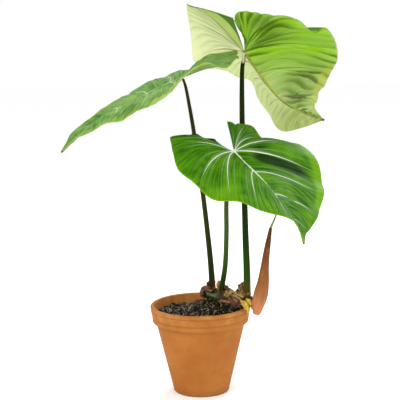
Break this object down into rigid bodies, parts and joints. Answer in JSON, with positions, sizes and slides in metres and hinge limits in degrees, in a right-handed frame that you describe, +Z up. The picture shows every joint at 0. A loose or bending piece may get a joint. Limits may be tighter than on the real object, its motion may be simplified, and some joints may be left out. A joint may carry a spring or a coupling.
{
  "type": "potted philodendron gloriosum",
  "caption": "Creeping aroid house plant with large heart-shaped, pale-veined leaves on upright stalks, growing in a tapered clay pot that it stands on.",
  "frame": {"origin": "on the ground under the middle of the plant's own box; the pot stands a little behind and to the left of it", "axes": "+Z up, +X to the right as the low leaf's upper face is seen, +Y away from that viewer"},
  "size_m": [0.372, 0.3976, 0.5363],
  "materials": {
    "terracotta": "matt unglazed fired clay, faint turning lines and pale specks",
    "soil": "dark, damp, chunky bark and peat potting mix",
    "rhizome": "glossy dark green to brown creeping stem",
    "petiole_brown": "smooth dark green stalk that turns brown upwards",
    "petiole_green": "smooth mid green stalk, fine lengthwise streaks",
    "petiole_dark": "smooth very dark green stalk with a pale neck",
    "blade": "velvety green upper face with near-white veins, paler underside",
    "sheath": "smooth brown sheath, salmon pink at the foot, fine lengthwise streaks",
    "new_leaf": "rolled young leaf, pale green",
    "dry_sheath": "papery, fibrous and torn, tan",
    "bud": "fresh waxy orange",
    "root_tip": "fresh waxy yellow to orange"
  },
  "bodies": {
    "root": {"pot": "terracotta", "soil": "soil", "rhizome": "rhizome", "petiole_left": "petiole_brown", "petiole_middle": "petiole_green", "petiole_right": "petiole_dark", "blade_top": "blade", "blade_left": "blade", "blade_front": "blade", "new_leaf_sheath": "sheath", "new_leaf_roll": "new_leaf", "dry_sheath_left": "dry_sheath", "dry_sheath_middle": "dry_sheath", "dry_sheath_right": "dry_sheath", "bud": "bud", "root_tip_upper": "root_tip", "root_tip_lower": "root_tip"}
  },
  "joints": []
}
